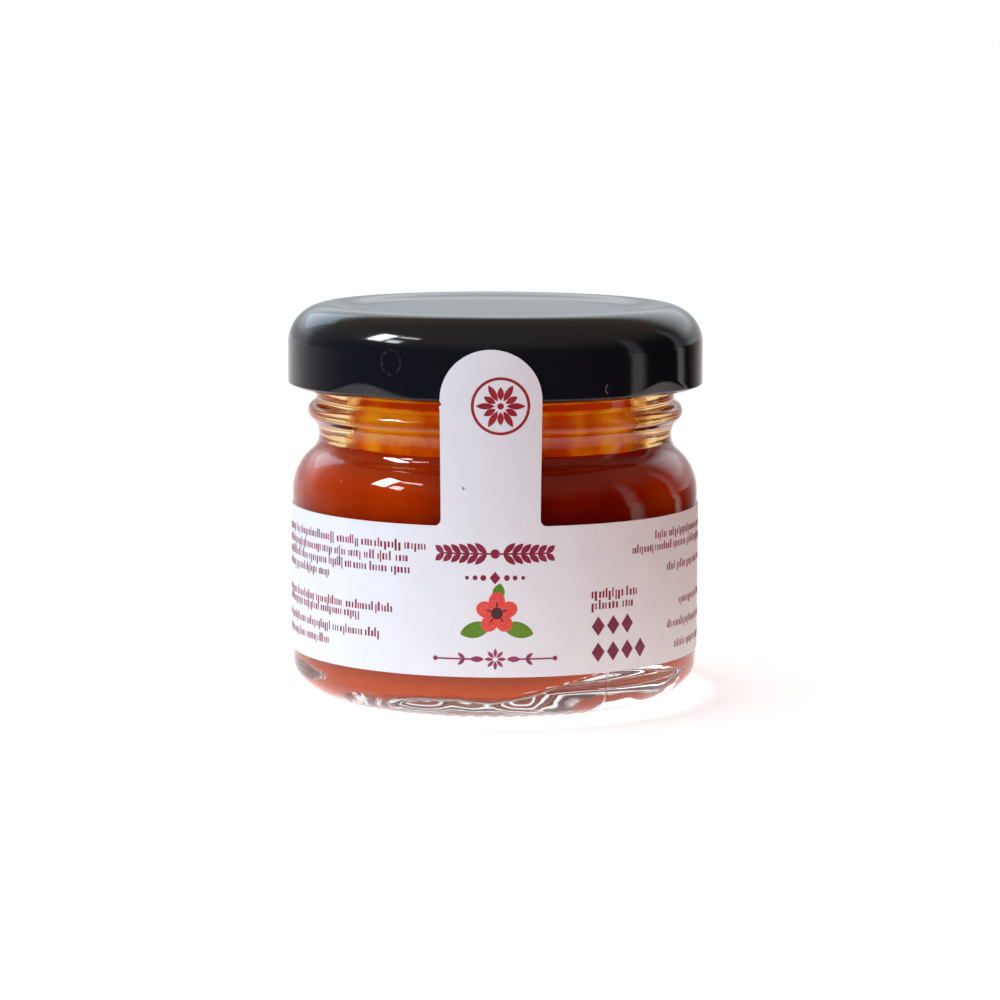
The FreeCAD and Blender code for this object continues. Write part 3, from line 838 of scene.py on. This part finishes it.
green = bmesh.new()
leaf(green, 0.1, 10.7, 3.4, 1.7, 196, 0.8)
leaf(green, 1.3, 10.7, 3.4, 1.7, -16, 0.8)
leaf(green, 0.7, 13.2, 2.0, 1.3, 80, 0.8)
print_ink("print_green", green, (0.105, 0.25, 0.002, 1), (0.16, 0.31, 0.02, 1))

coral = bmesh.new()
for k in range(5):
    turn = math.radians(90 + 72 * k)
    root = (BLOSSOM_MIDDLE + 0.25 * math.cos(turn), BLOSSOM_UP + 0.25 * math.sin(turn))
    leaf(coral, *root, 2.0, 1.72, 90 + 72 * k, 0.5)
print_ink("print_coral", coral, (0.82, 0.055, 0.04, 1), (0.86, 0.11, 0.075, 1), 1)

heart = bmesh.new()
disc(heart, BLOSSOM_MIDDLE, BLOSSOM_UP, 0.62, 24)
for k in range(5):
    turn = math.radians(90 + 72 * k)
    root = (BLOSSOM_MIDDLE + 0.5 * math.cos(turn), BLOSSOM_UP + 0.5 * math.sin(turn))
    leaf(heart, *root, 0.75, 0.16, 90 + 72 * k, lift=0.002)
print_ink("print_heart", heart, (0.060, 0.018, 0.018, 1), (0.085, 0.03, 0.03, 1), 2)


# --- The studio ----------------------------------------------------------------------------------------
# A pale floor before a white backdrop, soft light from all round, cooler from the left, and a window on
# the left. In front the room is dark, which is what the lacquer and the glass mirror there.

floor_shape = bmesh.new()
bmesh.ops.create_circle(floor_shape, cap_ends=True, radius=30, segments=96)
floor_mesh = bpy.data.meshes.new("floor")
floor_shape.to_mesh(floor_mesh)
floor_shape.free()
floor = bpy.data.objects.new("floor", floor_mesh)
bpy.context.collection.objects.link(floor)
pale, place = start_finish("pale_floor")
from_jar = (place.along("X") ** 2 + place.along("Y") ** 2).math("SQRT")
# Painted light: the floor glows under the jar and faintly a little way round it, a pool of light that
# lights the base and heel from below.
floor_glow = from_jar.rise(0.026, 0.019) * 0.86 + from_jar.rise(0.070, 0.020) * 0.14
surface = place.node("BsdfPrincipled", {}, {
    "Base Color": place.grain(3, 2.0).blend((0.94, 0.94, 0.94, 1), (0.96, 0.96, 0.96, 1)), "Roughness": 0.8,
    "Emission Color": floor_glow.blend((0, 0, 0, 1), (0.95, 0.97, 1.0, 1)), "Emission Strength": 1.3})
place.node("OutputMaterial", {}, {"Surface": surface})
floor_mesh.materials.append(pale)

cloth_shape = bmesh.new()
ends = [cloth_shape.verts.new((0, -r, 0.0004)) for r in (0.05, 29)]
hem = cloth_shape.edges.new(ends)
bmesh.ops.spin(cloth_shape, geom=ends + [hem], axis=(0, 0, 1), cent=(0, 0, 0), dvec=(0, 0, 0),
               angle=2 * math.pi, steps=96, use_merge=True)
bmesh.ops.recalc_face_normals(cloth_shape, faces=cloth_shape.faces)
if next(iter(cloth_shape.faces)).normal.z < 0:
    bmesh.ops.reverse_faces(cloth_shape, faces=cloth_shape.faces)
cloth_mesh = bpy.data.meshes.new("room_reflection_sheet")
cloth_shape.to_mesh(cloth_mesh)
cloth_shape.free()
cloth = bpy.data.objects.new("room_reflection_sheet", cloth_mesh)
bpy.context.collection.objects.link(cloth)


def room(way):
    """How bright the room is in a direction round the jar, up to the height of a window sill."""
    x, y = way.along("X"), way.along("Y")
    turn = x.math("ARCTAN2", y * -1) * (180 / math.pi)
    left = (0 - turn).rise(60, 175) ** 1.6
    right = turn.rise(128, 176)
    frame = turn.rise(77, 80) * turn.rise(91, 84) * 0.5 + turn.rise(117, 119) * turn.rise(128, 121) * 0.4
    return left * 0.9 + right * 0.9 + frame * 1.6


# Painted reflection: the camera never sees this sheet. In reflections it shows the room painted on it: dark
# in front, lighter to the left, behind and near the jar, with bright bars on the right. To scattered light
# it is pale blue on the left and dim warm on the right, a painted fill light and shade.
dark, place = start_finish("room_reflection_sheet")
reach = (place.along("X") ** 2 + place.along("Y") ** 2).math("SQRT")
near = reach.rise(0.14, 0.05)
shade = (room(place) + near * 0.8).math("MINIMUM", 1.0)
tint = place.along("X").rise(-2, 2).blend((0.92, 0.97, 1.0, 1), (1.0, 0.86, 0.78, 1))
mirrored = shade.blend((0.004, 0.004, 0.006, 1), tint)
scattered = place.along("X").rise(-0.07, 0.05).blend((0.80, 0.88, 1.0, 1), (0.24, 0.11, 0.085, 1))
scatter = place.node("LightPath", {}, {}, "Is Diffuse Ray")
surface = place.node("BsdfPrincipled", {}, {
    "Base Color": scatter.blend(mirrored, scattered), "Roughness": 1.0, "Specular IOR Level": 0.0})
below = place.node("NewGeometry", {}, {}, "Backfacing")
clear = place.node("BsdfTransparent")
surface = place.node("MixShader", {}, {0: below, 1: surface, 2: clear})
place.node("OutputMaterial", {}, {"Surface": surface})
cloth_mesh.materials.append(dark)
cloth.visible_camera = cloth.visible_transmission = cloth.visible_shadow = False

world = bpy.data.worlds.new("studio")
world.use_nodes = True
world.node_tree.nodes.clear()
spot = world.node_tree.nodes.new("ShaderNodeTexCoord")
way = Wire(world.node_tree, spot.outputs["Generated"])
x, y, z = (way.along(axis) for axis in "XYZ")
cool_side = x.rise(-0.9, 0.0).blend((1.20, 1.42, 1.70, 1), (0.94, 0.97, 1.08, 1))
around_jar = x.rise(-0.25, 0.38).blend(cool_side, (0.33, 0.10, 0.03, 1))
soft = z.rise(0.45, 0.95).blend(around_jar, (1.62, 1.60, 1.58, 1))
ceiling = z.rise(0.25, 0.7).blend((0.004, 0.004, 0.006, 1), (0.26, 0.20, 0.13, 1))
wall = room(way) * z.rise(0.65, 0.40)
backdrop = y.rise(0.50, 0.80) * z.rise(0.70, 0.50)
skyline = y.rise(0.55, 0.85) * z.rise(0.12, 0.26) * z.rise(0.70, 0.50)
white = (wall * 0.6 + backdrop * 0.6).math("MINIMUM", 0.64) / 0.64
mirrored = white.blend(ceiling, (0.60, 0.64, 0.67, 1))
diffuse = way.node("LightPath", {}, {}, "Diffuse Depth").rise(0.4, 0.6)
mirrored = skyline.blend(mirrored, (1.25, 1.34, 1.40, 1))
through = way.node("LightPath", {}, {}, "Is Transmission Ray")
behind = through.blend(mirrored, y.rise(-0.75, -0.15).blend((0.72, 0.62, 0.50, 1), (1.0, 1.0, 1.0, 1)))
seen = way.node("LightPath", {}, {}, "Is Camera Ray")
shown = seen.blend(diffuse.blend(behind, soft), (1, 1, 1, 1))
sky = way.node("Background", {}, {"Color": shown, "Strength": 1.0})
way.node("OutputWorld", {}, {"Surface": sky})
bpy.context.scene.world = world


def around(azimuth, elevation, distance):
    """A place in a direction from the jar: azimuth in degrees from the front towards +X."""
    a, e = math.radians(azimuth), math.radians(elevation)
    return Vector((math.sin(a) * math.cos(e), -math.cos(a) * math.cos(e), math.sin(e))) * distance


def lamp(name, place, size, brightness, colour):
    """A rectangular light that faces the jar, as bright as so many times a lit white sheet."""
    data = bpy.data.lights.new(name, "AREA")
    data.shape = "RECTANGLE"
    data.size, data.size_y = size
    data.energy = brightness * math.pi * size[0] * size[1]
    data.color = colour
    light = bpy.data.objects.new(name, data)
    light.location = place
    light.rotation_euler = (Vector((0, 0, 0.03)) - Vector(place)).to_track_quat("-Z", "Y").to_euler()
    light.visible_camera = False
    light.visible_diffuse = False
    bpy.context.collection.objects.link(light)


lamp("window", around(-78, 41.5, 0.9), (0.15, 0.25), 30, (0.90, 0.96, 1.0))
lamp("window_side", around(-64, 35.5, 0.9), (0.12, 0.10), 16, (0.90, 0.96, 1.0))
lamp("window_top", around(-60, 47.5, 0.9), (0.16, 0.05), 12, (1.0, 0.97, 0.92))
lamp("window_far", around(-150, 28, 0.9), (0.36, 0.30), 1.1, (0.55, 0.80, 1.0))

camera_data = bpy.data.cameras.new("camera")
camera_data.sensor_width = 36
camera_data.lens = 130.9
camera_data.clip_start = 0.01
camera_data.clip_end = 200
camera = bpy.data.objects.new("camera", camera_data)
camera.location = (0.00037, -0.400, 0.0721)
look_down, lean = math.radians(7.26), math.radians(-0.22)
camera.rotation_euler = (math.pi / 2 - look_down, lean, 0)
bpy.context.collection.objects.link(camera)
bpy.context.scene.camera = camera
bpy.context.scene.view_settings.view_transform = "Standard"
bpy.context.scene.cycles.max_bounces = 16
bpy.context.scene.cycles.glossy_bounces = 10
bpy.context.scene.cycles.transmission_bounces = 16
